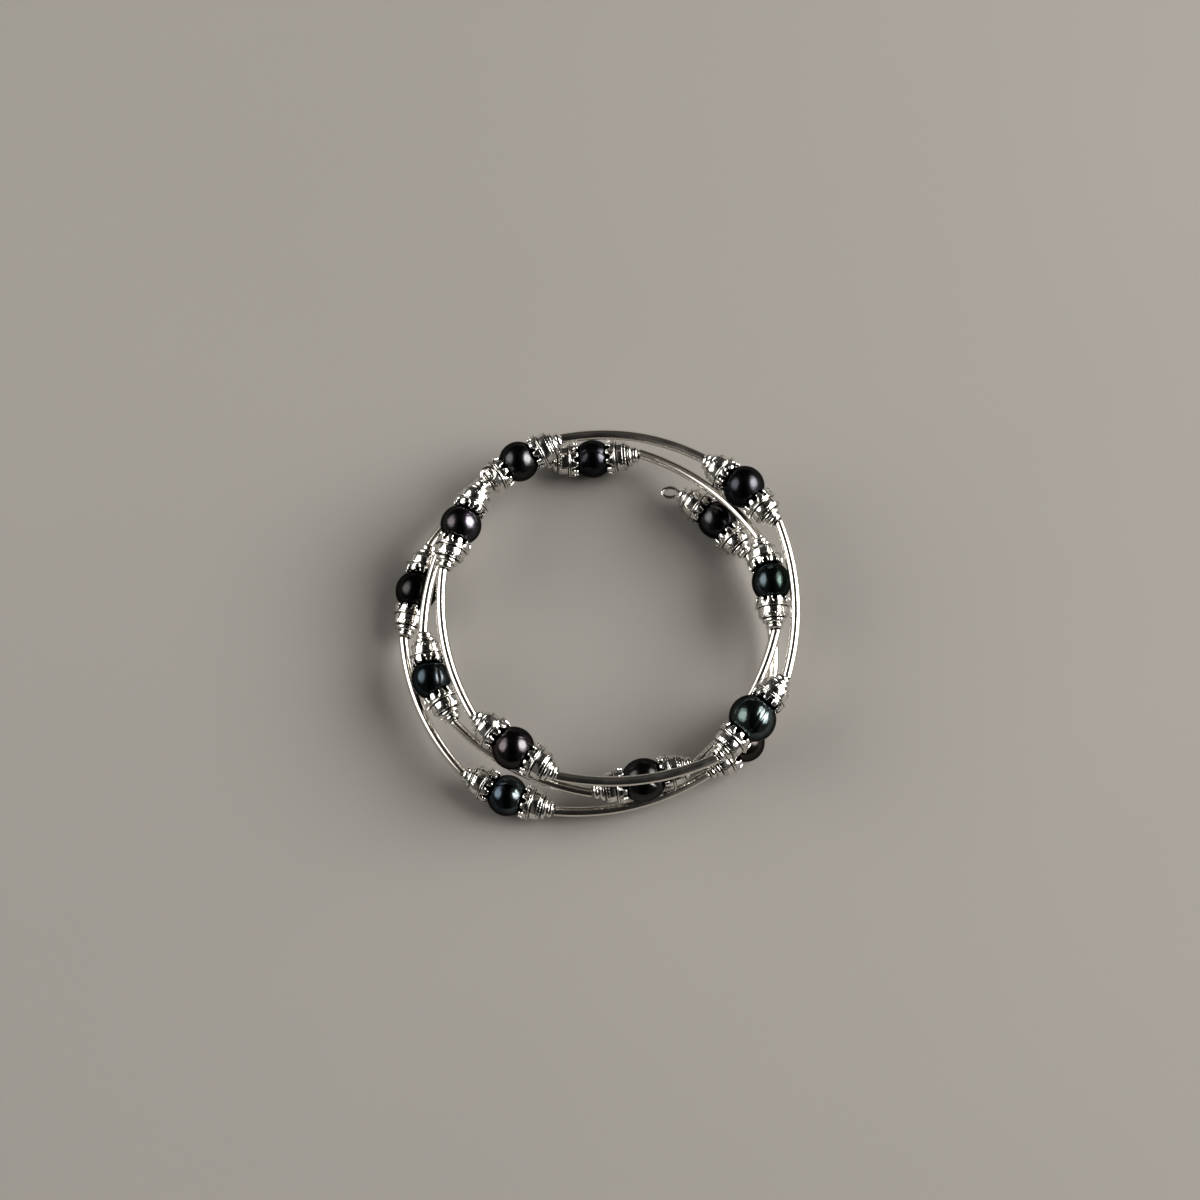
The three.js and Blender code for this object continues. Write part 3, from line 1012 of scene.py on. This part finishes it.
def make_lights(settings):
    """On each side a large soft panel, and from the same way an even light that reaches the whole
    floor. They leave a dark gap overhead."""
    place = np.array([0.50, 0.09, 0.36])
    softness = np.radians(40)
    colour = (1.0, 0.98, 0.96)
    sides = [
        {"name": "left", "side": -1, "width": 0.76, "height": 0.54,
         "panel": settings.left_panel, "even": settings.left_even},
        {"name": "right", "side": 1, "width": 0.86, "height": 0.56,
         "panel": settings.right_panel, "even": settings.right_even},
    ]
    for row in sides:
        panel = bpy.data.lights.new(f"{row['name']}_panel", "AREA")
        panel.shape = "ELLIPSE"
        panel.size = row["width"]
        panel.size_y = row["height"]
        panel.energy = row["panel"]
        even = bpy.data.lights.new(f"{row['name']}_even", "SUN")
        even.angle = softness
        even.energy = row["even"]
        for light in (panel, even):
            light.color = colour
            lamp = bpy.data.objects.new(light.name, light)
            lamp.location = place * (row["side"], 1, 1)
            bpy.context.scene.collection.objects.link(lamp)
            aim(lamp, (0, 0, 0))
            lamp.visible_camera = False


def make_world(scene, settings):
    """A dim room: darkest overhead and in front, and brighter behind and to the left and right.

    The sine of the angle aside, and that of the angle behind, blend one brightness into the next
    between their two edges.
    """
    side_edge = (0.26, 0.46)
    behind_edge = (0.08, 0.42)
    colour = (1.0, 0.95, 0.90)
    world = bpy.data.worlds.new("studio")
    world.use_nodes = True
    nodes = world.node_tree.nodes
    links = world.node_tree.links

    def node(kind, inputs, **options):
        """A new node with its options and its inputs by number, and its first output."""
        made = nodes.new(kind)
        for name, value in options.items():
            setattr(made, name, value)
        for index, value in inputs.items():
            if isinstance(value, bpy.types.NodeSocket):
                links.new(value, made.inputs[index])
            else:
                made.inputs[index].default_value = value
        return made.outputs[0]

    def ramp(value, low, high, at_low, at_high):
        """A smooth step between two values."""
        inputs = {0: value, 1: low, 2: high, 3: at_low, 4: at_high}
        return node("ShaderNodeMapRange", inputs, interpolation_type="SMOOTHSTEP")

    direction = nodes.new("ShaderNodeTexCoord").outputs["Generated"]
    parts = nodes.new("ShaderNodeSeparateXYZ")
    links.new(direction, parts.inputs[0])
    aside = node("ShaderNodeMath", {0: parts.outputs["X"]}, operation="ABSOLUTE")
    sides = ramp(aside, *side_edge, settings.overhead_glow, settings.side_glow)
    behind = ramp(parts.outputs["Y"], *behind_edge, 0.0, settings.behind_glow)
    glow = node("ShaderNodeMath", {0: sides, 1: behind}, operation="MAXIMUM")
    links.new(glow, nodes["Background"].inputs["Strength"])
    nodes["Background"].inputs["Color"].default_value = opaque(colour)
    scene.world = world


def make_camera(scene, settings):
    """A camera that looks down on the bracelet from the front, a little aside of its origin and
    above it in the picture."""
    aside = 1.0 * MM
    above = 5.1 * MM
    nearest = 0.01
    toward_camera = np.array([0, -np.cos(settings.elevation), np.sin(settings.elevation)])
    upward = np.array([0, np.sin(settings.elevation), np.cos(settings.elevation)])
    camera = bpy.data.objects.new("camera", bpy.data.cameras.new("camera"))
    camera.data.lens = settings.lens
    camera.data.sensor_width = 36
    camera.data.clip_start = nearest
    camera.location = toward_camera * settings.distance
    scene.collection.objects.link(camera)
    aim(camera, np.array([aside, 0, 0]) + upward * above)
    scene.camera = camera


class BRACELET_PT_panel(bpy.types.Panel):
    """The bracelet's pieces and their sizes"""

    bl_label = "Pearl Wrap Bracelet"
    bl_idname = "BRACELET_PT_panel"
    bl_space_type = "VIEW_3D"
    bl_region_type = "UI"
    bl_category = "Bracelet"

    def draw(self, context):
        for group, operator in zip(SETTINGS, OPERATORS):
            box = self.layout.box()
            box.operator(operator.bl_idname)
            settings = getattr(context.scene, group)
            for name in SETTINGS[group].__annotations__:
                box.prop(settings, name)


OPERATORS = [
    BRACELET_OT_pearls,
    BRACELET_OT_caps,
    BRACELET_OT_tubes,
    BRACELET_OT_wire,
    BRACELET_OT_stage,
]
CLASSES = [*SETTINGS.values(), *OPERATORS, BRACELET_PT_panel]


def register():
    """Registers the classes and hangs the settings on the scene."""
    for cls in CLASSES:
        bpy.utils.register_class(cls)
    for name, group in SETTINGS.items():
        setattr(bpy.types.Scene, name, bpy.props.PointerProperty(type=group))


def unregister():
    """Takes the settings and the classes away again."""
    for name in SETTINGS:
        delattr(bpy.types.Scene, name)
    for cls in reversed(CLASSES):
        bpy.utils.unregister_class(cls)


def main():
    """Makes every piece and the stage."""
    register()
    bpy.ops.bracelet.pearls()
    bpy.ops.bracelet.caps()
    bpy.ops.bracelet.tubes()
    bpy.ops.bracelet.wire()
    bpy.ops.bracelet.stage()


if __name__ == "__main__":
    main()
